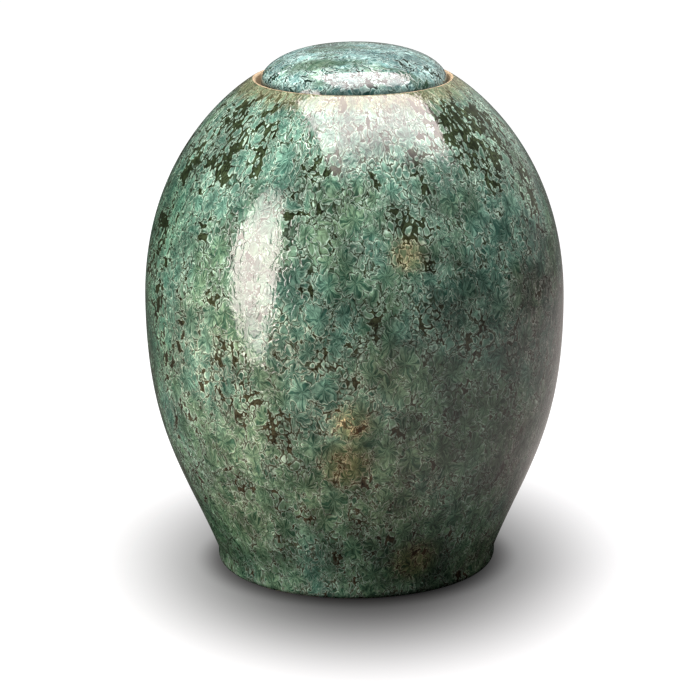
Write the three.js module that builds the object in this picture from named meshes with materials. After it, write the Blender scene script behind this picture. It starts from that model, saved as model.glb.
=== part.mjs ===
// Funeral urn of glazed stoneware: an egg-shaped vessel and a domed lid that rests inside its mouth.
// Millimetres, +Z up. The origin is on the axis, on the surface that the foot ring stands on.
import * as THREE from 'three';

// Vessel, outside
const BELLY_RADIUS = 105;
const BELLY_HEIGHT = 137;
const FOOT_RADIUS = 70.5;
const FOOT_HEIGHT = 8;
const FOOT_ROUNDING = 3;
const FOOT_CREASE = 0.7;
const FLARE_ANGLE = 68.7;
const FLARE_REACH = 47;
const BELLY_HOLD_BELOW = 67;
const BELLY_HOLD_ABOVE = 78.5;
const RIM_HEIGHT = 248.5;
const RIM_SLOPE = 31;
const RIM_REACH = 2.6;
const LIP_ROUNDING = 1.3;

// Vessel, inside
const WALL = 7;
const FLOOR_HEIGHT = 10;
const MOUTH_RADIUS = 48;
const LEDGE_HEIGHT = 242;
const THROAT_RADIUS = 38;
const INNER_WALL_TOP = 0.8;
const INNER_WALL_BOTTOM = 0.14;

// Vessel, underside
const RECESS_RADIUS = 57.5;
const RECESS_DEPTH = 2.5;

// Lid
const LID_RADIUS = 46.2;
const LID_SHIFT = 0.6;
const LID_EDGE_ROUNDING = 4.5;
const LID_TOP = 264.2;
const LID_FULLNESS = 2.3;
const LID_WALL = 6.5;
const LOCATING_RADIUS = 36.8;
const LOCATING_WALL = 5;
const LOCATING_DEPTH = 9;

// Facets
const SIDES = 60;
const WALL_STEPS = 9;
const INNER_STEPS = 8;
const LIP_STEPS = 4;
const FOOT_STEPS = 3;
const FLOOR_STEPS = 3;
const DOME_STEPS = 9;
const LID_EDGE_STEPS = 3;

const glazedVessel = new THREE.MeshStandardMaterial({ color: 0x5f8270, roughness: 0.16, metalness: 0 });
const glazedLid = new THREE.MeshStandardMaterial({ color: 0x7aa79b, roughness: 0.16, metalness: 0 });

const point = (radius, height) => new THREE.Vector2(radius, height);

// A step away from a point, at an angle above the horizontal.
function away(from, degrees, reach) {
  const angle = THREE.MathUtils.degToRad(degrees);
  return point(from.x + reach * Math.cos(angle), from.y + reach * Math.sin(angle));
}

// Points of a round stretch between two angles, both ends included.
function arc(centre, radius, fromDegrees, toDegrees, steps) {
  const points = [];
  for (let i = 0; i <= steps; i += 1) {
    points.push(away(centre, THREE.MathUtils.lerp(fromDegrees, toDegrees, i / steps), radius));
  }
  return points;
}

// The wall is two curves that meet upright at the belly. The upper one runs into the rounded lip.
const footTop = point(FOOT_RADIUS, FOOT_HEIGHT);
const belly = point(BELLY_RADIUS, BELLY_HEIGHT);
const lipCentre = point(MOUTH_RADIUS + LIP_ROUNDING, RIM_HEIGHT - LIP_ROUNDING);
const lipStart = 90 - RIM_SLOPE;
const lipOutside = away(lipCentre, lipStart, LIP_ROUNDING);

const lowerWall = new THREE.CubicBezierCurve(
  footTop,
  away(footTop, FLARE_ANGLE, FLARE_REACH),
  point(BELLY_RADIUS, BELLY_HEIGHT - BELLY_HOLD_BELOW),
  belly,
);
const upperWall = new THREE.CubicBezierCurve(
  belly,
  point(BELLY_RADIUS, BELLY_HEIGHT + BELLY_HOLD_ABOVE),
  away(lipOutside, -RIM_SLOPE, RIM_REACH),
  lipOutside,
);

// A point of the inner face: the outer face moved inwards by the wall's thickness.
function innerFace(curve, t) {
  const outer = curve.getPoint(t);
  const along = curve.getTangent(t);
  return point(outer.x - WALL * along.y, outer.y + WALL * along.x);
}

function curvePoints(place, curve, from, to, steps) {
  const points = [];
  for (let i = 0; i <= steps; i += 1) {
    points.push(place(curve, THREE.MathUtils.lerp(from, to, i / steps)));
  }
  return points;
}

const outerFace = (curve, t) => curve.getPoint(t);

function vesselUnderside() {
  const roundingCentre = point(FOOT_RADIUS - FOOT_CREASE - FOOT_ROUNDING, FOOT_ROUNDING);
  return [
    point(0, RECESS_DEPTH),
    point(RECESS_RADIUS - RECESS_DEPTH, RECESS_DEPTH),
    point(RECESS_RADIUS, 0),
    ...arc(roundingCentre, FOOT_ROUNDING, -90, 0, FOOT_STEPS),
    point(FOOT_RADIUS - FOOT_CREASE, FOOT_HEIGHT - FOOT_CREASE),
  ];
}

function vesselOutside() {
  const below = curvePoints(outerFace, lowerWall, 0, 1, WALL_STEPS);
  const above = curvePoints(outerFace, upperWall, 0, 1, WALL_STEPS);
  return [...below, ...above.slice(1)];
}

function vesselMouth() {
  return [
    ...arc(lipCentre, LIP_ROUNDING, lipStart, 180, LIP_STEPS).slice(1),
    point(MOUTH_RADIUS, LEDGE_HEIGHT),
    point(THROAT_RADIUS, LEDGE_HEIGHT),
  ];
}

// From the underside of the ledge down the inner face and over a rounded corner to the floor.
function vesselInside() {
  const above = curvePoints(innerFace, upperWall, INNER_WALL_TOP, 0, INNER_STEPS);
  const below = curvePoints(innerFace, lowerWall, 1, INNER_WALL_BOTTOM, INNER_STEPS);
  const foot = below[below.length - 1];
  const drop = foot.y - FLOOR_HEIGHT;
  const corner = away(foot, FLARE_ANGLE - 180, drop / Math.sin(THREE.MathUtils.degToRad(FLARE_ANGLE)));
  const cove = new THREE.QuadraticBezierCurve(foot, corner, point(corner.x - drop, FLOOR_HEIGHT));
  return [
    point(THROAT_RADIUS, above[0].y),
    ...above,
    ...below.slice(1),
    ...cove.getPoints(FLOOR_STEPS).slice(1),
    point(0, FLOOR_HEIGHT),
  ];
}

// A solid turned round the vertical axis from its half outline.
function turned(name, outline, material) {
  const geometry = new THREE.LatheGeometry(outline, SIDES);
  geometry.rotateX(Math.PI / 2);
  const mesh = new THREE.Mesh(geometry, material);
  mesh.name = name;
  return mesh;
}

function vessel() {
  const outline = [...vesselUnderside(), ...vesselOutside(), ...vesselMouth(), ...vesselInside()];
  return turned('vessel', outline, glazedVessel);
}

// A dome from its edge ring to its top: a little fuller than an ellipse.
function dome(radius, edgeHeight, topHeight) {
  const points = [];
  for (let i = 1; i <= DOME_STEPS; i += 1) {
    const angle = (Math.PI / 2) * (i / DOME_STEPS);
    const r = i === DOME_STEPS ? 0 : radius * Math.cos(angle) ** (2 / LID_FULLNESS);
    points.push(point(r, edgeHeight + (topHeight - edgeHeight) * Math.sin(angle)));
  }
  return points;
}

function lid() {
  const edgeHeight = LEDGE_HEIGHT + LID_EDGE_ROUNDING;
  const edgeCentre = point(LID_RADIUS - LID_EDGE_ROUNDING, edgeHeight);
  const hollowRadius = LOCATING_RADIUS - LOCATING_WALL;
  const outline = [
    point(0, LID_TOP - LID_WALL),
    ...dome(hollowRadius, edgeHeight, LID_TOP - LID_WALL).slice(0, -1).reverse(),
    point(hollowRadius, edgeHeight),
    point(hollowRadius, LEDGE_HEIGHT - LOCATING_DEPTH),
    point(LOCATING_RADIUS, LEDGE_HEIGHT - LOCATING_DEPTH),
    point(LOCATING_RADIUS, LEDGE_HEIGHT),
    ...arc(edgeCentre, LID_EDGE_ROUNDING, -90, 0, LID_EDGE_STEPS),
    ...dome(LID_RADIUS, edgeHeight, LID_TOP),
  ];
  const mesh = turned('lid', outline, glazedLid);
  mesh.position.x = LID_SHIFT;
  return mesh;
}

const urn = new THREE.Group();
urn.add(vessel(), lid());

export default urn;
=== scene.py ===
import math

import bpy
from mathutils import Euler, Matrix, Vector, kdtree


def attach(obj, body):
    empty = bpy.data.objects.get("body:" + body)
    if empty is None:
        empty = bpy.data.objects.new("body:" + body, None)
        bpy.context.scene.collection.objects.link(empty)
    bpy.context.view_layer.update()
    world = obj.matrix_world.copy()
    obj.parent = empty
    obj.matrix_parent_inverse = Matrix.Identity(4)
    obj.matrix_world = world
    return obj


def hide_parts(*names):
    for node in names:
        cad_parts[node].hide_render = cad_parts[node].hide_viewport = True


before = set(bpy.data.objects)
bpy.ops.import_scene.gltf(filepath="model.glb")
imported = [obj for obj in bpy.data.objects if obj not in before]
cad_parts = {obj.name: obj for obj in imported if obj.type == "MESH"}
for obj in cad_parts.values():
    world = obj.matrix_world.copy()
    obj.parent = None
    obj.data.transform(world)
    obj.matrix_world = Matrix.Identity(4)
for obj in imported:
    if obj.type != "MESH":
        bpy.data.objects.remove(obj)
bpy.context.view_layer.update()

# The vessel: one egg-shaped stoneware pot, thrown on a wheel in one piece with its foot and its lip, 7 mm
# thick. A ledge inside the mouth carries the lid. It was glazed outside, and its lip and foot ring were wiped
# bare before the firing.
BELLY_RADIUS = 0.105
BELLY_HEIGHT = 0.137
FOOT_RADIUS = 0.0705
FOOT_HEIGHT = 0.008
FOOT_ROUNDING = 0.004
FLARE_ANGLE = 68.7
FLARE_REACH = 0.047
BELLY_HOLD_BELOW = 0.067
BELLY_HOLD_ABOVE = 0.0785
RIM_HEIGHT = 0.2485
RIM_SLOPE = 31
RIM_REACH = 0.0026
LIP_ROUNDING = 0.0013
WALL = 0.007
FLOOR_HEIGHT = 0.010
MOUTH_RADIUS = 0.048
LEDGE_HEIGHT = 0.242
THROAT_RADIUS = 0.038
INNER_WALL_TOP = 0.8
INNER_WALL_BOTTOM = 0.14
RECESS_RADIUS = 0.0575
RECESS_DEPTH = 0.0025
RING_ROUNDING = 0.0006
SIDES = 256
WALL_STEPS = 56
INNER_STEPS = 28
ROUNDING_STEPS = 8
SAME_PLACE = 0.000002
ON_AXIS = 0.00001
SMOOTH_BELOW = 35
MAP_MARGIN = 0.004
INSIDE_SHARE = 0.25


def step_away(start, degrees, reach):
    """The point (radius, height) that lies that far from start, at that angle above the horizontal."""
    angle = math.radians(degrees)
    return Vector((start[0] + reach * math.cos(angle), start[1] + reach * math.sin(angle)))


def rounding(centre, radius, first, last, steps):
    """Points of a round stretch between two angles, both ends included."""
    return [step_away(centre, first + (last - first) * n / steps, radius) for n in range(steps + 1)]


def swept(corners, t):
    """The point at t of the smooth curve that these four corners pull, and its direction there."""
    a, b, c, d = corners
    u = 1 - t
    place = a * u**3 + b * 3 * u * u * t + c * 3 * u * t * t + d * t**3
    along = (b - a) * u * u + (c - b) * 2 * u * t + (d - c) * t * t
    return place, along.normalized()


def wall_points(corners, first, last, steps, inwards=0.0):
    """Points along a stretch of the wall, moved inwards by a thickness."""
    points = []
    for n in range(steps + 1):
        place, along = swept(corners, first + (last - first) * n / steps)
        points.append(place + Vector((-along.y, along.x)) * inwards)
    return points


def thrown(name, outline):
    """A closed pot shape, turned round the upright axis from the points of its half outline."""
    bpy.ops.object.select_all(action="DESELECT")
    bpy.ops.mesh.primitive_plane_add(size=0.001, location=(0, 0, 0))
    piece = bpy.context.object
    piece.name = piece.data.name = name
    bpy.ops.object.mode_set(mode="EDIT")
    bpy.ops.mesh.select_all(action="SELECT")
    bpy.ops.mesh.merge(type="CENTER")
    bpy.ops.transform.translate(value=(outline[0].x, 0, outline[0].y))
    for before, after in zip(outline, outline[1:]):
        move = after - before
        bpy.ops.mesh.extrude_region_move(TRANSFORM_OT_translate={"value": (move.x, 0, move.y)})
    bpy.ops.mesh.select_all(action="SELECT")
    bpy.ops.mesh.spin(steps=SIDES, angle=math.tau, center=(0, 0, 0), axis=(0, 0, 1))
    bpy.ops.mesh.select_all(action="SELECT")
    bpy.ops.mesh.remove_doubles(threshold=SAME_PLACE)
    bpy.ops.mesh.normals_make_consistent(inside=False)
    bpy.ops.object.mode_set(mode="OBJECT")
    bpy.ops.object.shade_smooth_by_angle(angle=math.radians(SMOOTH_BELOW))
    return piece


def lay_out_glaze(piece, outline, hidden, share):
    """A flat map of the piece for its glaze: once round is the width, and the outline's length is the height.
    Points that hidden says are out of sight get only that share of their length."""
    tree = kdtree.KDTree(len(outline))
    heights = [0.0]
    for before, after in zip(outline, outline[1:]):
        worth = share if hidden(before) and hidden(after) else 1.0
        heights.append(heights[-1] + worth * (after - before).length)
    for n, point in enumerate(outline):
        tree.insert((point.x, 0, point.y), n)
    tree.balance()
    mesh = piece.data
    layer = mesh.uv_layers.new(name="OFBake")
    across = [math.hypot(v.co.x, v.co.y) for v in mesh.vertices]
    up = [heights[tree.find((r, 0, v.co.z))[1]] / heights[-1] for r, v in zip(across, mesh.vertices)]
    usable = 1 - 2 * MAP_MARGIN
    for face in mesh.polygons:
        middle = math.atan2(face.center.y, face.center.x)
        for corner in face.loop_indices:
            n = mesh.loops[corner].vertex_index
            place = mesh.vertices[n].co
            turn = math.atan2(place.y, place.x) if across[n] > ON_AXIS else middle
            turn = middle + math.remainder(turn - middle, math.tau)
            u = 0.5 + turn / math.tau
            layer.data[corner].uv = (MAP_MARGIN + usable * u, MAP_MARGIN + usable * up[n])


foot_top = Vector((FOOT_RADIUS, FOOT_HEIGHT))
belly = Vector((BELLY_RADIUS, BELLY_HEIGHT))
lip_centre = Vector((MOUTH_RADIUS + LIP_ROUNDING, RIM_HEIGHT - LIP_ROUNDING))
lip_outside = step_away(lip_centre, 90 - RIM_SLOPE, LIP_ROUNDING)
lower_wall = (
    foot_top,
    step_away(foot_top, FLARE_ANGLE, FLARE_REACH),
    Vector((BELLY_RADIUS, BELLY_HEIGHT - BELLY_HOLD_BELOW)),
    belly,
)
upper_wall = (
    belly,
    Vector((BELLY_RADIUS, BELLY_HEIGHT + BELLY_HOLD_ABOVE)),
    step_away(lip_outside, -RIM_SLOPE, RIM_REACH),
    lip_outside,
)

foot_centre = Vector((FOOT_RADIUS - FOOT_ROUNDING, FOOT_ROUNDING))
underside = [
    Vector((0, RECESS_DEPTH)),
    Vector((RECESS_RADIUS * 0.5, RECESS_DEPTH)),
    Vector((RECESS_RADIUS - RECESS_DEPTH, RECESS_DEPTH)),
    Vector((RECESS_RADIUS - RING_ROUNDING, RING_ROUNDING)),
    Vector((RECESS_RADIUS + RING_ROUNDING, 0)),
]
outside = [
    *rounding(foot_centre, FOOT_ROUNDING, -90, 0, ROUNDING_STEPS),
    *wall_points(lower_wall, 0, 1, WALL_STEPS),
    *wall_points(upper_wall, 0, 1, WALL_STEPS)[1:],
]
mouth = [
    *rounding(lip_centre, LIP_ROUNDING, 90 - RIM_SLOPE, 180, ROUNDING_STEPS)[1:],
    Vector((MOUTH_RADIUS, LEDGE_HEIGHT)),
    Vector((THROAT_RADIUS, LEDGE_HEIGHT)),
]
inner_top = wall_points(upper_wall, INNER_WALL_TOP, 0, INNER_STEPS, WALL)
inner_low = wall_points(lower_wall, 1, INNER_WALL_BOTTOM, INNER_STEPS, WALL)
inner_foot = inner_low[-1]
drop = inner_foot.y - FLOOR_HEIGHT
corner = step_away(inner_foot, FLARE_ANGLE - 180, drop / math.sin(math.radians(FLARE_ANGLE)))
cove_end = Vector((corner.x - drop, FLOOR_HEIGHT))
cove = [
    inner_foot * (1 - t) ** 2 + corner * 2 * t * (1 - t) + cove_end * t * t
    for t in (n / ROUNDING_STEPS for n in range(1, ROUNDING_STEPS + 1))
]
inside = [Vector((THROAT_RADIUS, inner_top[0].y)), *inner_top, *inner_low[1:], *cove]
inside += [Vector((cove_end.x * 0.5, FLOOR_HEIGHT)), Vector((0, FLOOR_HEIGHT))]

vessel_outline = [*underside, *outside, *mouth, *inside]
vessel = thrown("stoneware_vessel", vessel_outline)
seen = {tuple(point) for point in outside}
lay_out_glaze(vessel, vessel_outline, lambda point: tuple(point) not in seen, INSIDE_SHARE)


def put(tree, kind, inputs=None, **settings):
    """Adds a node with its settings. Each of its inputs takes a value or what another node puts out."""
    node = tree.nodes.new("ShaderNode" + kind)
    for name, value in settings.items():
        setattr(node, name, value)
    for name, value in (inputs or {}).items():
        if isinstance(value, bpy.types.NodeSocket):
            tree.links.new(value, node.inputs[name])
        else:
            node.inputs[name].default_value = value
    return node


def sum_of(tree, operation, *values, clamp=False):
    """One step of arithmetic on numbers."""
    inputs = dict(enumerate(values))
    return put(tree, "Math", inputs, operation=operation, use_clamp=clamp).outputs[0]


def vector_of(tree, operation, *values, scale=None):
    """One step of arithmetic on vectors."""
    inputs = dict(enumerate(values))
    if scale is not None:
        inputs["Scale"] = scale
    node = put(tree, "VectorMath", inputs, operation=operation)
    return node.outputs["Value" if operation in ("LENGTH", "DOT_PRODUCT", "DISTANCE") else "Vector"]


def ramp(tree, value, low, high, start=0.0, end=1.0, smooth=True):
    """The value's way from low to high, as a number from start to end."""
    inputs = {"Value": value, 1: low, 2: high, 3: start, 4: end}
    kind = "SMOOTHSTEP" if smooth else "LINEAR"
    return put(tree, "MapRange", inputs, interpolation_type=kind).outputs["Result"]


def blend(tree, amount, first, second, way="MIX"):
    """One colour laid over another by that amount."""
    inputs = {"Factor": amount, 6: first, 7: second}
    return put(tree, "Mix", inputs, data_type="RGBA", blend_type=way).outputs[2]


def noise(tree, place, scale, detail=2.0, roughness=0.5):
    """A cloudy pattern: its value comes first, and then three more values as a colour."""
    inputs = {"Vector": place, "Scale": scale, "Detail": detail, "Roughness": roughness}
    return put(tree, "TexNoise", inputs).outputs


def new_effect(name, inputs, outputs):
    """An empty node group. Returns its tree, what comes in and what goes out."""
    tree = bpy.data.node_groups.new(name, "ShaderNodeTree")
    for label, kind, value in inputs:
        socket = tree.interface.new_socket(label, in_out="INPUT", socket_type="NodeSocket" + kind)
        if value is not None:
            socket.default_value = value
    for label, kind in outputs:
        tree.interface.new_socket(label, in_out="OUTPUT", socket_type="NodeSocket" + kind)
    entry = tree.nodes.new("NodeGroupInput")
    leaving = tree.nodes.new("NodeGroupOutput")
    return tree, entry.outputs, leaving.inputs


def use_effect(tree, group, **inputs):
    """Places a node group and gives it its values. Returns what it puts out."""
    node = tree.nodes.new("ShaderNodeGroup")
    node.node_tree = group
    for name, value in inputs.items():
        name = name.replace("_", " ")
        if isinstance(value, bpy.types.NodeSocket):
            tree.links.new(value, node.inputs[name])
        else:
            node.inputs[name].default_value = value
    return node.outputs


# Across a crystal's outline, in millimetres inwards: its edge, its pale rim, and its shadow outside it.
OUTLINE_BLUR = (0.0, 0.12)
PALE_RIM = (0.2, 0.75)
OUTLINE_SHADOW = (-0.6, -0.1)
CRYSTAL_INPUTS = [
    ("Place", "Vector", None),
    ("Size mm", "Float", 3.0),
    ("Seed", "Vector", None),
    ("Reach", "Float", 0.5),
]
CRYSTAL_OUTLINE = [("Cover", "Float"), ("Rim", "Float"), ("Shadow", "Float")]


def nearest_seed(tree, given):
    """Finds the nearest crystal seed on a pattern of that size. Returns the place and all about the seed."""
    per_size = sum_of(tree, "DIVIDE", 1000.0, given["Size mm"])
    place = vector_of(tree, "SCALE", given["Place"], scale=per_size)
    place = vector_of(tree, "ADD", place, given["Seed"])
    return place, put(tree, "TexVoronoi", {"Vector": place, "Scale": 1.0}, feature="F1").outputs


def crystal_outline(tree, given, result, reach, distance):
    """Where a crystal with that reach lies, its pale rim, and its shadow on what is under it. Returns how far
    inside its outline a place is, in millimetres."""
    within = sum_of(tree, "SUBTRACT", reach, distance)
    within = sum_of(tree, "MULTIPLY", within, given["Size mm"])
    tree.links.new(ramp(tree, within, *OUTLINE_BLUR), result["Cover"])
    tree.links.new(ramp(tree, within, *PALE_RIM, 1.0, 0.0), result["Rim"])
    tree.links.new(ramp(tree, within, *OUTLINE_SHADOW), result["Shadow"])
    return within


SMALLEST_CRYSTAL = 0.8
CRYSTAL_VARIETY = 0.4
CRYSTAL_RISE = (-0.15, 0.4)


def small_crystals_effect():
    """Small round crystals that grew into each other, as one mass with a lobed outline."""
    outputs = [*CRYSTAL_OUTLINE, ("Tone", "Float"), ("Rise", "Float")]
    tree, given, result = new_effect("small crystals", CRYSTAL_INPUTS, outputs)
    place, seed = nearest_seed(tree, given)
    tone = put(tree, "SeparateXYZ", {0: seed["Color"]}).outputs["X"]
    share = sum_of(tree, "MULTIPLY_ADD", tone, CRYSTAL_VARIETY, SMALLEST_CRYSTAL)
    reach = sum_of(tree, "MULTIPLY", given["Reach"], share)
    within = crystal_outline(tree, given, result, reach, seed["Distance"])
    tree.links.new(tone, result["Tone"])
    tree.links.new(ramp(tree, within, *CRYSTAL_RISE), result["Rise"])
    return tree


# A fan's lobes and needles are cloudy patterns over the directions from its seed, and each fan has its own.
FAN_APARTNESS = 40.0
LOBES_AROUND = (1.9, 1.9, 1.9)
LOBE_PATTERN = (1.0, 0.0)
LOBE_DEPTH = 0.8
LOBE_FLOOR = 0.65
NEEDLES_AROUND = (6.0, 6.0, 6.0)
NEEDLE_PATTERN = (1.0, 1.0, 0.6)
NEEDLE_CONTRAST = (0.38, 0.62)
FAN_INWARDS = (0.5, 4.0)


def crystal_fans_effect():
    """Large flat crystals: lobed fans with fine needles from their seed outwards."""
    outputs = [*CRYSTAL_OUTLINE, ("Needles", "Float"), ("Inward", "Float")]
    tree, given, result = new_effect("crystal fans", CRYSTAL_INPUTS, outputs)
    place, seed = nearest_seed(tree, given)
    spoke = vector_of(tree, "SUBTRACT", place, seed["Position"])
    facing = put(tree, "TexCoord").outputs["Normal"]
    lift = vector_of(tree, "SCALE", facing, scale=vector_of(tree, "DOT_PRODUCT", facing, spoke))
    heading = vector_of(tree, "NORMALIZE", vector_of(tree, "SUBTRACT", spoke, lift))
    own = vector_of(tree, "SCALE", seed["Color"], scale=FAN_APARTNESS)
    lobe_place = vector_of(tree, "MULTIPLY_ADD", heading, LOBES_AROUND, own)
    lobes = sum_of(tree, "SUBTRACT", noise(tree, lobe_place, *LOBE_PATTERN)[0], 0.5)
    lobes = sum_of(tree, "MULTIPLY", sum_of(tree, "ABSOLUTE", lobes), 2.0)
    lobes = sum_of(tree, "MULTIPLY_ADD", sum_of(tree, "SQRT", lobes), LOBE_DEPTH, LOBE_FLOOR)
    reach = sum_of(tree, "MULTIPLY", given["Reach"], lobes)
    within = crystal_outline(tree, given, result, reach, seed["Distance"])
    needle_place = vector_of(tree, "MULTIPLY_ADD", heading, NEEDLES_AROUND, own)
    needles = noise(tree, needle_place, *NEEDLE_PATTERN)[0]
    tree.links.new(ramp(tree, needles, *NEEDLE_CONTRAST, smooth=False), result["Needles"])
    tree.links.new(ramp(tree, within, *FAN_INWARDS, smooth=False), result["Inward"])
    return tree


COARSE_WAVER = (130.0, 0.0)
COARSE_WAVER_WIDTH = 0.0050
FINE_WAVER = (430.0, 0.0)
FINE_WAVER_WIDTH = 0.0021


def glaze_waver_effect():
    """The place on the glaze, shaken a little, so that no outline in it is quite round or straight."""
    tree, given, result = new_effect(
        "glaze waver", [("Place", "Vector", None)], [("Place", "Vector"), ("Swell", "Float")]
    )
    place = given["Place"]
    coarse = noise(tree, place, *COARSE_WAVER)
    fine = noise(tree, place, *FINE_WAVER)
    for cloud, width in ((coarse, COARSE_WAVER_WIDTH), (fine, FINE_WAVER_WIDTH)):
        shake = vector_of(tree, "SUBTRACT", cloud["Color"], (0.5, 0.5, 0.5))
        place = vector_of(tree, "ADD", place, vector_of(tree, "SCALE", shake, scale=width))
    tree.links.new(place, result["Place"])
    tree.links.new(coarse[0], result["Swell"])
    return tree


# Each growth of crystals: its size in millimetres, its seed, its reach as a share of its size, and how much
# further it reaches where the glaze is deep. A later growth lies over an earlier one.
SMALL_GROWTHS = [
    (3.0, (3.1, 7.7, 1.3), 0.42, 0.30),
    (3.8, (1.9, 4.7, 8.3), 0.36, 0.22),
    (5.6, (6.6, 0.7, 3.9), 0.36, 0.11),
    (4.6, (9.2, 2.4, 5.1), 0.34, 0.15),
]
FAN_GROWTHS = [
    (8.5, (4.6, 8.8, 6.9), 0.30, 0.22),
    (13.0, (7.3, 5.5, 2.2), 0.22, 0.24),
]
# Cloudy patterns in the glaze, with their fineness, detail and roughness, and where each of them changes.
DEPTH_PATTERN = (70.0, 1.0, 0.6)
DEPTH_CONTRAST = (0.32, 0.50)
THINNING = 0.45
HUE_PATTERN = (26.0, 2.0, 0.6)
HUE_CONTRAST = (0.48, 0.72)
HUE_LOW_DOWN = 0.2
LOW_DOWN = (0.03, 0.17)
DIM_PATTERN = (75.0, 2.0, 0.6)
DIM_CONTRAST = (0.35, 0.65)
GRAIN_PATTERN = (620.0, 2.0, 0.7)
GRAINY_RIM = (0.35, 0.58, 0.4, 1.0)
GRAINY_GROUND = (0.35, 0.65, 0.7, 1.3)
GRAINY_SHADE = (0.3, 0.7, 0.5, 1.5)
# How strong each part of the glaze is.
TONE_STRENGTH = 0.9
NEEDLE_STRENGTH = 1.1
NEEDLE_FLOOR = 0.05
FAN_MIDDLE_DARKER = 0.25
SMALL_SHADOW = 0.85
FAN_SHADOW = 0.8
DIM_STRENGTH = 0.6
DIM_FLOOR = 0.64
COVERED_RELIEF = 0.5
GRAIN_RELIEF = 0.35
GROUND_GLOSS = 0.03
CRYSTAL_GLOSS = 0.05


def lay_crystals(tree, given, growth, lightness, hue, rough_rim, shadow, color, ground):
    """One growth of crystals, laid over the colour of what grew before it."""
    flesh = blend(tree, lightness, given["Deep"], given["Pale"])
    flesh = blend(tree, hue, flesh, given["Warm"], "MULTIPLY")
    flesh = blend(tree, sum_of(tree, "MULTIPLY", growth["Rim"], rough_rim), flesh, given["Edge"])
    color = blend(tree, sum_of(tree, "MULTIPLY", growth["Shadow"], shadow), color, ground)
    return blend(tree, growth["Cover"], color, flesh)


def crystal_glaze_effect(waver, small_crystals, crystal_fans):
    """The whole glaze: a dark green glass with six growths of crystals in it, and its hue patches. It is
    thinner, with fewer crystals, towards a height, and browner low down."""
    tree, given, result = new_effect(
        "crystal glaze",
        [
            ("Place", "Vector", None),
            ("Growth", "Float", 0.0),
            ("Ground", "Color", (0.027, 0.043, 0.020, 1)),
            ("Low ground", "Color", (0.058, 0.054, 0.032, 1)),
            ("Deep", "Color", (0.032, 0.104, 0.078, 1)),
            ("Pale", "Color", (0.160, 0.325, 0.248, 1)),
            ("Edge", "Color", (0.38, 0.56, 0.46, 1)),
            ("Warm", "Color", (1.17, 1.00, 0.82, 1)),
            ("Thin from", "Float", 0.156),
            ("Thin to", "Float", 0.188),
        ],
        [("Color", "Color"), ("Roughness", "Float"), ("Height", "Float")],
    )
    place = given["Place"]
    height = put(tree, "SeparateXYZ", {0: place}).outputs["Z"]
    thin = ramp(tree, height, given["Thin from"], given["Thin to"])
    depth = ramp(tree, noise(tree, place, *DEPTH_PATTERN)[0], *DEPTH_CONTRAST, smooth=False)
    depth = sum_of(tree, "MULTIPLY_ADD", thin, -THINNING, depth)
    depth = sum_of(tree, "ADD", depth, given["Growth"])
    low_down = ramp(tree, height, *LOW_DOWN, 1.0, 0.0)
    hue_noise = noise(tree, place, *HUE_PATTERN)[0]
    hue = ramp(tree, sum_of(tree, "MULTIPLY_ADD", low_down, HUE_LOW_DOWN, hue_noise), *HUE_CONTRAST)
    dim = ramp(tree, noise(tree, place, *DIM_PATTERN)[0], *DIM_CONTRAST)
    wavered = use_effect(tree, waver, Place=place)
    place = wavered["Place"]

    grain = noise(tree, place, *GRAIN_PATTERN)[0]
    rough_rim = ramp(tree, grain, *GRAINY_RIM, smooth=False)
    ground = blend(tree, low_down, given["Ground"], given["Low ground"])
    color = vector_of(tree, "SCALE", ground, scale=ramp(tree, grain, *GRAINY_GROUND))
    total = 0.0
    relief = 0.0
    for size, seed, reach, by_depth in SMALL_GROWTHS:
        reach = sum_of(tree, "MULTIPLY_ADD", depth, by_depth, reach)
        growth = use_effect(tree, small_crystals, Place=place, Size_mm=size, Seed=seed, Reach=reach)
        lightness = sum_of(tree, "MULTIPLY", growth["Tone"], TONE_STRENGTH)
        color = lay_crystals(tree, given, growth, lightness, hue, rough_rim, SMALL_SHADOW, color, ground)
        total = sum_of(tree, "MAXIMUM", growth["Cover"], total)
        relief = sum_of(tree, "MULTIPLY_ADD", relief, COVERED_RELIEF, growth["Rise"])
    for size, seed, reach, by_depth in FAN_GROWTHS:
        reach = sum_of(tree, "MULTIPLY_ADD", depth, by_depth, reach)
        growth = use_effect(tree, crystal_fans, Place=place, Size_mm=size, Seed=seed, Reach=reach)
        lightness = sum_of(tree, "MULTIPLY_ADD", growth["Needles"], NEEDLE_STRENGTH, NEEDLE_FLOOR)
        lightness = sum_of(tree, "MULTIPLY_ADD", growth["Inward"], -FAN_MIDDLE_DARKER, lightness, clamp=True)
        color = lay_crystals(tree, given, growth, lightness, hue, rough_rim, FAN_SHADOW, color, ground)
        total = sum_of(tree, "MAXIMUM", growth["Cover"], total)
    shade = sum_of(tree, "MULTIPLY_ADD", dim, DIM_STRENGTH, DIM_FLOOR)
    shade = sum_of(tree, "MULTIPLY", shade, ramp(tree, grain, *GRAINY_SHADE, smooth=False))
    tree.links.new(vector_of(tree, "SCALE", color, scale=shade), result["Color"])
    tree.links.new(ramp(tree, total, 0.0, 1.0, GROUND_GLOSS, CRYSTAL_GLOSS), result["Roughness"])
    relief = sum_of(tree, "ADD", relief, wavered["Swell"])
    tree.links.new(sum_of(tree, "MULTIPLY_ADD", grain, GRAIN_RELIEF, relief), result["Height"])
    return tree


CLAY_PATTERN = (1400.0, 3.0, 0.65)
CLAY_CONTRAST = (0.35, 0.65)
DARK_CLAY = (0.28, 0.22, 0.12, 1)
LIGHT_CLAY = (0.47, 0.40, 0.26, 1)


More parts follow.
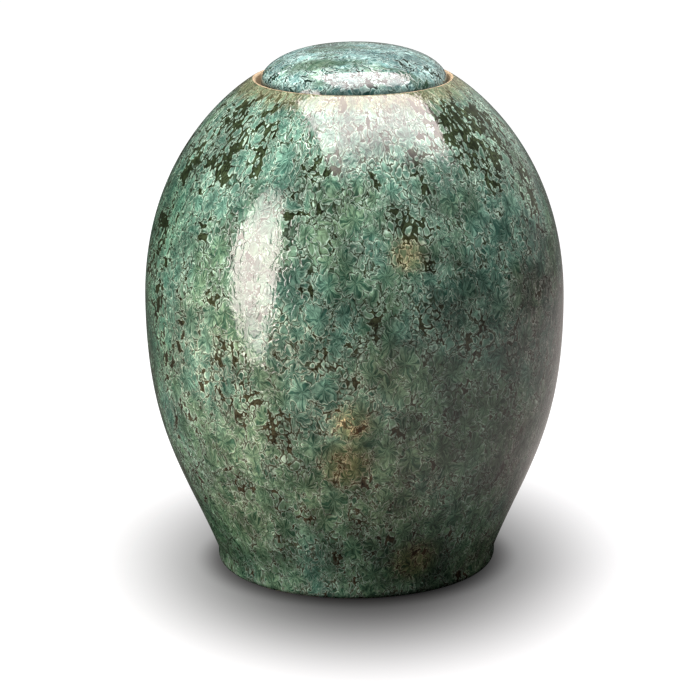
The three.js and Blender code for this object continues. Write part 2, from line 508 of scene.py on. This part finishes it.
def bare_clay_effect():
    """The bare stoneware of the lip, the foot ring and the lid's underside: sandy, with fine dark grains."""
    tree, given, result = new_effect("bare clay", [("Place", "Vector", None)], [("Color", "Color")])
    grains = ramp(tree, noise(tree, given["Place"], *CLAY_PATTERN)[0], *CLAY_CONTRAST)
    tree.links.new(blend(tree, grains, DARK_CLAY, LIGHT_CLAY), result["Color"])
    return tree


GLAZE_IOR = 1.62
GLAZE_RELIEF = 0.00006
CLAY_ROUGHNESS = 0.5


def new_finish(name):
    """A material with only its glassy surface shader. Returns it, its tree and the shader."""
    material = bpy.data.materials.new(name)
    material.use_nodes = True
    tree = material.node_tree
    shader = tree.nodes["Principled BSDF"]
    shader.inputs["IOR"].default_value = GLAZE_IOR
    return material, tree, shader


def finish_piece(tree, shader, glaze, color, clay, bare):
    """The glaze's colour, gloss and relief on the shader, with bare clay where the glaze was wiped off."""
    tree.links.new(blend(tree, bare, color, clay), shader.inputs["Base Color"])
    rough = sum_of(tree, "MULTIPLY_ADD", bare, CLAY_ROUGHNESS, glaze["Roughness"])
    tree.links.new(rough, shader.inputs["Roughness"])
    bump = put(tree, "Bump", {"Strength": 1.0, "Distance": GLAZE_RELIEF, "Height": glaze["Height"]})
    tree.links.new(bump.outputs[0], shader.inputs["Normal"])


def on_wall(turn, height):
    """The place on the outside of the wall at that height, turned that far to the right of the front."""
    across = min(outside, key=lambda point: abs(point.y - height)).x
    angle = math.radians(turn)
    return Vector((across * math.sin(angle), -across * math.cos(angle), height))


PATCH_CORE = 0.3
PATCH_END = 1.3


def patches(tree, place, spots):
    """A mask of soft round patches on the wall, each given by its turn, its height and its radius."""
    mask = 0.0
    for turn, height, reach in spots:
        away = vector_of(tree, "DISTANCE", place, on_wall(turn, height))
        spot = ramp(tree, away, reach * PATCH_CORE, reach * PATCH_END, 1.0, 0.0)
        mask = sum_of(tree, "MAXIMUM", mask, spot)
    return mask


# Patches of the glaze: where it ran thin and few crystals grew, and where the crystals are paler, deeper,
# duller and browner, or ochre. The paler patches are partly painted light, the deeper ones partly painted
# shade, and the duller ones painted shade.
THIN_PATCHES = [
    (-53, 0.215, 0.015),
    (-49, 0.229, 0.012),
    (-13, 0.219, 0.009),
    (-68, 0.218, 0.018),
    (-60, 0.236, 0.014),
    (-12, 0.200, 0.008),
    (47, 0.232, 0.022),
    (52, 0.218, 0.020),
    (64, 0.228, 0.020),
    (66, 0.200, 0.016),
    (-73, 0.179, 0.014),
    (-76, 0.158, 0.014),
    (-69, 0.145, 0.012),
    (-60, 0.118, 0.012),
    (-30, 0.110, 0.012),
    (-22, 0.095, 0.012),
    (21, 0.150, 0.012),
    (33, 0.136, 0.012),
    (17, 0.194, 0.010),
]
# Paler crystals, partly painted light.
PALE_AND_PAINTED_LIGHT_PATCHES = [
    (-42, 0.125, 0.040),
    (-20, 0.130, 0.030),
    (-32, 0.085, 0.034),
    (-8, 0.100, 0.026),
    (-40, 0.045, 0.026),
    (-10, 0.060, 0.022),
    (5, 0.115, 0.024),
    (11, 0.066, 0.036),
    (58, 0.010, 0.022),
]
# Deeper crystals, partly painted shade at the far left and by the foot.
DEEP_AND_PAINTED_SHADE_PATCHES = [
    (-72, 0.184, 0.036),
    (-76, 0.130, 0.036),
    (-60, 0.026, 0.026),
]
# Duller, browner crystals on the right: painted shade on the side away from the lights.
DULL_PAINTED_SHADE_PATCHES = [
    (62, 0.140, 0.040),
    (74, 0.120, 0.045),
    (60, 0.072, 0.034),
]
OCHRE_PATCHES = [
    (-3, 0.079, 0.014),
    (-1, 0.100, 0.011),
    (15, 0.181, 0.010),
    (22, 0.021, 0.014),
]
PATCH_TINTS = [
    (PALE_AND_PAINTED_LIGHT_PATCHES, (1.38, 1.20, 1.15, 1)),
    (DEEP_AND_PAINTED_SHADE_PATCHES, (0.66, 0.76, 0.68, 1)),
    (DULL_PAINTED_SHADE_PATCHES, (0.82, 0.64, 0.68, 1)),
    (OCHRE_PATCHES, (1.45, 1.00, 0.75, 1)),
]
PATCH_THINNING = 1.05
GROWTH_ALL_OVER = 0.1
# The glaze flowed down, so its pattern is drawn out in height, and kept wide where the pot is narrow.
DRAWN_OUT = 0.8
NARROWEST = 0.03
# Round the rim the glaze ran down thin, and shows a warmer glass.
RUN_PATTERN = (260.0, 3.0, 0.6)
RUN_DRAWN_OUT = (1.0, 1.0, 0.25)
RUN_DEPTH = 0.012
THIN_RIM = (0.2460, 0.2530)
THIN_RIM_TINT = (1.08, 0.86, 0.68, 1)
THIN_RIM_GLASS = (0.17, 0.18, 0.10, 1)
THIN_RIM_COVER = 0.30
# The wiped edges wander a little: the bare lip ends this far outside the mouth, and the bare ring this high.
WIPING_PATTERN = (320.0, 3.0, 0.6)
LIP_WANDER = 0.0012
BARE_LIP = (MOUTH_RADIUS + 0.0024, MOUTH_RADIUS + 0.0021)
ABOVE_FOOT = 0.2
FOOT_WANDER = 0.002
BARE_FOOT = (0.0020, 0.0014)

crystal_glaze = crystal_glaze_effect(glaze_waver_effect(), small_crystals_effect(), crystal_fans_effect())
bare_clay = bare_clay_effect()

vessel_glaze, tree, shader = new_finish("green_crystal_glaze")
place = put(tree, "TexCoord").outputs["Object"]
axes = put(tree, "SeparateXYZ", {0: place}).outputs
upright = put(tree, "CombineXYZ", {"X": axes["X"], "Y": axes["Y"], "Z": 0.0}).outputs[0]
radius = vector_of(tree, "LENGTH", upright)
spread = sum_of(tree, "DIVIDE", BELLY_RADIUS, sum_of(tree, "MAXIMUM", radius, NARROWEST))
spread = sum_of(tree, "SQRT", spread)
rise = put(tree, "CombineXYZ", {"Z": sum_of(tree, "MULTIPLY", axes["Z"], DRAWN_OUT)}).outputs[0]
flow_place = vector_of(tree, "ADD", vector_of(tree, "SCALE", upright, scale=spread), rise)
thinness = patches(tree, place, THIN_PATCHES)
growth = sum_of(tree, "MULTIPLY_ADD", thinness, -PATCH_THINNING, GROWTH_ALL_OVER)
glaze = use_effect(tree, crystal_glaze, Place=flow_place, Growth=growth)
color = glaze["Color"]
# Tints the glaze by its patches: paler colour with painted light, deeper and duller colour with painted
# shade.
for spots, tint in PATCH_TINTS:
    color = blend(tree, patches(tree, place, spots), color, tint, "MULTIPLY")

run_place = vector_of(tree, "MULTIPLY", flow_place, RUN_DRAWN_OUT)
runs = noise(tree, run_place, *RUN_PATTERN)[0]
thin_rim = ramp(tree, sum_of(tree, "MULTIPLY_ADD", runs, RUN_DEPTH, axes["Z"]), *THIN_RIM)
color = blend(tree, thin_rim, color, THIN_RIM_TINT, "MULTIPLY")
color = blend(tree, sum_of(tree, "MULTIPLY", thin_rim, THIN_RIM_COVER), color, THIN_RIM_GLASS)
wiping = noise(tree, place, *WIPING_PATTERN)[0]
bare_lip = ramp(tree, sum_of(tree, "MULTIPLY_ADD", wiping, LIP_WANDER, radius), *BARE_LIP)
bare_lip = sum_of(tree, "MULTIPLY", bare_lip, sum_of(tree, "GREATER_THAN", axes["Z"], ABOVE_FOOT))
bare_foot = ramp(tree, sum_of(tree, "MULTIPLY_ADD", wiping, FOOT_WANDER, axes["Z"]), *BARE_FOOT)
bare = sum_of(tree, "MAXIMUM", bare_lip, bare_foot)
clay = use_effect(tree, bare_clay, Place=place)["Color"]
finish_piece(tree, shader, glaze, color, clay, bare)

vessel.data.materials.append(vessel_glaze)
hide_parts("vessel")
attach(vessel, "root")

# The lid: one low stoneware dome with a ring under it that keeps it in the mouth. It lies loose on the ledge,
# a little to the right of the middle. Its glaze came out bluer and paler than the vessel's.
LID_RADIUS = 0.0462
LID_SHIFT = 0.0006
LID_EDGE_ROUNDING = 0.0045
LID_TOP = 0.2642
LID_FULLNESS = 2.3
LID_WALL = 0.0065
LOCATING_RADIUS = 0.0368
LOCATING_WALL = 0.005
LOCATING_DEPTH = 0.009
DOME_STEPS = 28
LID_HIDDEN_SHARE = 0.3


def dome(edge_radius, edge_height, top_height):
    """Points of a low dome from just above its edge to its top, a little fuller than an ellipse."""
    points = []
    for n in range(1, DOME_STEPS + 1):
        angle = math.pi / 2 * n / DOME_STEPS
        across = max(math.cos(angle), 0) ** (2 / LID_FULLNESS) if n < DOME_STEPS else 0
        up = edge_height + (top_height - edge_height) * math.sin(angle)
        points.append(Vector((edge_radius * across, up)))
    return points


edge_height = LEDGE_HEIGHT + LID_EDGE_ROUNDING
edge_centre = Vector((LID_RADIUS - LID_EDGE_ROUNDING, edge_height))
hollow_radius = LOCATING_RADIUS - LOCATING_WALL
lid_outline = [
    *reversed(dome(hollow_radius, edge_height, LID_TOP - LID_WALL)),
    Vector((hollow_radius, edge_height)),
    Vector((hollow_radius, LEDGE_HEIGHT - LOCATING_DEPTH)),
    Vector((LOCATING_RADIUS, LEDGE_HEIGHT - LOCATING_DEPTH)),
    Vector((LOCATING_RADIUS, LEDGE_HEIGHT)),
    *rounding(edge_centre, LID_EDGE_ROUNDING, -90, 0, ROUNDING_STEPS),
    *dome(LID_RADIUS, edge_height, LID_TOP),
]
lid = thrown("stoneware_lid", lid_outline)
seen = {tuple(point) for point in dome(LID_RADIUS, edge_height, LID_TOP)}
lay_out_glaze(lid, lid_outline, lambda point: tuple(point) not in seen, LID_HIDDEN_SHARE)
bpy.ops.transform.translate(value=(LID_SHIFT, 0, 0))
bpy.ops.object.transform_apply(location=True, rotation=True, scale=True)

# The lid's crystals crowd towards its middle. Darker green brush strokes cross them, and its low edge is
# dark: partly darker glass, partly a painted dark reflection.
LID_CROWD = (0.026, 0.045, 0.5, -0.4)
NEVER_THIN_FROM = 0.4
NEVER_THIN_TO = 0.5
BRUSHED_ALONG = (0.6, 1.4, 1.0)
BRUSHING_PATTERN = (60.0, 3.0, 0.6)
BRUSHED = (0.53, 0.62, 0.0, 0.6)
BRUSHED_GREEN = (0.045, 0.090, 0.050, 1)
EDGE_PATTERN = (120.0, 3.0, 0.6)
EDGE_WANDER = 0.006
LOW_EDGE_AND_REFLECTION = (0.2550, 0.2500)
LOW_EDGE_AND_REFLECTION_COVER = 0.8
LOW_EDGE_GLASS_AND_REFLECTION = (0.010, 0.045, 0.042, 1)
BARE_UNDERSIDE = (LEDGE_HEIGHT + 0.0012, LEDGE_HEIGHT + 0.0008)

lid_glaze, tree, shader = new_finish("turquoise_crystal_glaze")
place = put(tree, "TexCoord").outputs["Object"]
axes = put(tree, "SeparateXYZ", {0: place}).outputs
radius = vector_of(tree, "LENGTH", vector_of(tree, "MULTIPLY", place, (1.0, 1.0, 0.0)))
glaze = use_effect(
    tree,
    crystal_glaze,
    Place=place,
    Growth=ramp(tree, radius, *LID_CROWD),
    Ground=(0.014, 0.036, 0.026, 1),
    Deep=(0.034, 0.124, 0.122, 1),
    Pale=(0.29, 0.49, 0.46, 1),
    Edge=(0.44, 0.64, 0.60, 1),
    Warm=(1.10, 1.00, 0.75, 1),
    Thin_from=NEVER_THIN_FROM,
    Thin_to=NEVER_THIN_TO,
)
edge_noise = noise(tree, place, *EDGE_PATTERN)[0]
# The lid's low edge: darker glass with a painted dark reflection over it.
low_edge_and_reflection = ramp(tree, sum_of(tree, "MULTIPLY_ADD", edge_noise, EDGE_WANDER, axes["Z"]), *LOW_EDGE_AND_REFLECTION)
brush_place = vector_of(tree, "MULTIPLY", place, BRUSHED_ALONG)
brushed = ramp(tree, noise(tree, brush_place, *BRUSHING_PATTERN)[0], *BRUSHED)
color = blend(tree, brushed, glaze["Color"], BRUSHED_GREEN)
color = blend(tree, sum_of(tree, "MULTIPLY", low_edge_and_reflection, LOW_EDGE_AND_REFLECTION_COVER), color, LOW_EDGE_GLASS_AND_REFLECTION)
bare = ramp(tree, axes["Z"], *BARE_UNDERSIDE)
clay = use_effect(tree, bare_clay, Place=place)["Color"]
finish_piece(tree, shader, glaze, color, clay, bare)

lid.data.materials.append(lid_glaze)
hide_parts("lid")
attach(lid, "root")

# The studio: a wide white floor with a painted shadow round the urn's foot, one large soft light overhead, a
# tall one near the front left, and bright surroundings behind. The camera looks down a little from the front.
FLOOR_WIDTH = 12
FLOOR_COLOR = (0.28, 0.31, 0.32)
FLOOR_ROUGHNESS = 0.8
WHITE = (1, 1, 1, 1)
# The floor's painted shadow, in its colour and its glow: its place and shape round the foot, a darker painted
# shadow where it meets the foot, and how it grows lighter with the distance in metres.
SHADE_OFFSET = (-0.005, 0.008, 0.0)
SHADE_SHAPE = (1.0, 0.69, 1.0)
SHADE_FALLOFF = (0.035, 0.158, 0.05, 1.0)
CONTACT_SHADOW_FALLOFF = (FOOT_RADIUS - 0.004, FOOT_RADIUS + 0.014, 0.3, 1.0)
GLOW_FALLOFF = (0.15, 0.6, 0.89, 1.02)
# Painted bounce light: the floor glows on the urn for all rays but the camera's, more of it from the right,
# and less from far away.
BOUNCE_TINT = (1, 0.90, 0.86, 1)
BOUNCE_START = (0.07, 0.18)
BOUNCE_FROM_RIGHT = (-0.3, 0.7, 0.08, 0.5)
BOUNCE_FALLOFF = (0.4, 1.0, 1.0, 0.3)

bpy.ops.object.select_all(action="DESELECT")
bpy.ops.mesh.primitive_plane_add(size=FLOOR_WIDTH, location=(0, 0, 0))
floor = bpy.context.object
floor.name = "studio_floor"
floor_paint = bpy.data.materials.new("pale_floor")
floor_paint.use_nodes = True
tree = floor_paint.node_tree
paint = tree.nodes["Principled BSDF"]
paint.inputs["Roughness"].default_value = FLOOR_ROUGHNESS
paint.inputs["Emission Color"].default_value = WHITE
place = put(tree, "TexCoord").outputs["Object"]
away = vector_of(tree, "LENGTH", place)
drawn_out = vector_of(tree, "ADD", place, SHADE_OFFSET)
drawn_out = vector_of(tree, "LENGTH", vector_of(tree, "MULTIPLY", drawn_out, SHADE_SHAPE))
# Painted shadow round the foot, in the floor's colour and in its glow.
unshaded = ramp(tree, drawn_out, *SHADE_FALLOFF)
unshaded = sum_of(tree, "MULTIPLY", unshaded, ramp(tree, away, *CONTACT_SHADOW_FALLOFF))
tree.links.new(vector_of(tree, "SCALE", FLOOR_COLOR, scale=unshaded), paint.inputs["Base Color"])
shadowed_glow = sum_of(tree, "MULTIPLY", unshaded, ramp(tree, away, *GLOW_FALLOFF))
tree.links.new(shadowed_glow, paint.inputs["Emission Strength"])
# Painted bounce light: a glow of the floor that all rays but the camera's see.
right = vector_of(tree, "DOT_PRODUCT", vector_of(tree, "NORMALIZE", place), (1.0, 0.0, 0.0))
right = ramp(tree, right, *BOUNCE_FROM_RIGHT)
bounce = sum_of(tree, "MULTIPLY", ramp(tree, away, *BOUNCE_START), right)
bounce = sum_of(tree, "MULTIPLY", bounce, ramp(tree, away, *BOUNCE_FALLOFF))
bounce = put(tree, "Emission", {"Color": BOUNCE_TINT, "Strength": bounce})
rays = put(tree, "LightPath").outputs["Is Camera Ray"]
floor_mix = put(tree, "MixShader", {0: rays, 1: bounce.outputs[0], 2: paint.outputs[0]})
tree.links.new(floor_mix.outputs[0], tree.nodes["Material Output"].inputs["Surface"])
floor.data.materials.append(floor_paint)


def soft_light(name, middle, turn, size, radiance, fade, tint, shape="RECTANGLE"):
    """A soft studio light that shines along its own -Z, turned round X, then Y, then Z, in degrees. fade says
    between which two places up its face, from 0 to 1, it goes from dark to full, and from full to dark."""
    light = bpy.data.lights.new(name, "AREA")
    light.shape = shape
    light.size, light.size_y = size
    area = light.size * light.size_y * (math.pi / 4 if shape == "ELLIPSE" else 1)
    light.energy = radiance * math.pi * area
    light.color = tint
    light.use_nodes = True
    tree = light.node_tree
    face = put(tree, "NewGeometry").outputs["Parametric"]
    up = put(tree, "SeparateXYZ", {0: face}).outputs["Y"]
    lower = ramp(tree, up, fade[0], fade[1], smooth=False)
    upper = ramp(tree, up, fade[2], fade[3], 1.0, 0.0, smooth=False)
    tree.links.new(sum_of(tree, "MULTIPLY", lower, upper), tree.nodes["Emission"].inputs["Strength"])
    lamp = bpy.data.objects.new(name, light)
    turn = Euler([math.radians(angle) for angle in turn], "XYZ").to_matrix()
    lamp.matrix_world = Matrix.Translation(middle) @ turn.to_4x4()
    bpy.context.scene.collection.objects.link(lamp)


soft_light(
    "overhead_softbox",
    middle=(0.145, -0.015, 0.621),
    turn=(24.6, -14.1, 16.0),
    size=(0.592, 0.45),
    radiance=8.6,
    fade=(0, 0.33, 1, 2),
    tint=(1, 0.86, 0.86),
)
soft_light(
    "left_softbox",
    middle=(-0.354, -0.277, 0.28),
    turn=(90, -5, -52),
    size=(0.205, 0.54),
    radiance=11.4,
    fade=(-0.25, 0.33, 0.62, 1.12),
    tint=(1, 0.88, 0.83),
    shape="ELLIPSE",
)

# The room shines a little from the upper right and more from behind, and the camera sees it plain white.
UPPER_RIGHT = (0.683, -0.183, 0.707)
UPPER_RIGHT_GLOW = (0.55, 0.98, 0.02, 0.10)
BEHIND = (0.50, 0.86, 0.09)
BEHIND_GLOW = (0.65, 1.0, 0.02, 0.36)
ROOM_TINT = (1, 0.92, 0.88, 1)

world = bpy.context.scene.world or bpy.data.worlds.new("studio")
bpy.context.scene.world = world
world.use_nodes = True
tree = world.node_tree
tree.nodes.clear()
heading = put(tree, "TexCoord").outputs["Generated"]
upper_right = ramp(tree, vector_of(tree, "DOT_PRODUCT", heading, UPPER_RIGHT), *UPPER_RIGHT_GLOW)
behind = ramp(tree, vector_of(tree, "DOT_PRODUCT", heading, BEHIND), *BEHIND_GLOW)
surroundings = sum_of(tree, "MAXIMUM", upper_right, behind)
rays = put(tree, "LightPath").outputs["Is Camera Ray"]
strength = sum_of(tree, "MAXIMUM", rays, surroundings)
tint = blend(tree, rays, ROOM_TINT, WHITE)
sky = put(tree, "Background", {"Color": tint, "Strength": strength})
tree.links.new(sky.outputs[0], put(tree, "OutputWorld").inputs["Surface"])

# The camera's place in metres, its turns in degrees, and its lens and sensor in millimetres.
CAMERA_PLACE = (0, -1.6, 0.5429)
CAMERA_PAN = 0.088
CAMERA_TILT = 74.824
CAMERA_ROLL = -0.472
CAMERA_LENS = 168.90
CAMERA_SENSOR = 36
CAMERA_REACH = 50

camera_data = bpy.data.cameras.new("studio_camera")
camera_data.sensor_width = CAMERA_SENSOR
camera_data.lens = CAMERA_LENS
camera_data.clip_end = CAMERA_REACH
camera = bpy.data.objects.new("studio_camera", camera_data)
camera.matrix_world = (
    Matrix.Translation(CAMERA_PLACE)
    @ Matrix.Rotation(math.radians(CAMERA_PAN), 4, "Z")
    @ Matrix.Rotation(math.radians(CAMERA_TILT), 4, "X")
    @ Matrix.Rotation(math.radians(CAMERA_ROLL), 4, "Z")
)
bpy.context.scene.collection.objects.link(camera)
bpy.context.scene.camera = camera
bpy.context.scene.view_settings.view_transform = "Standard"
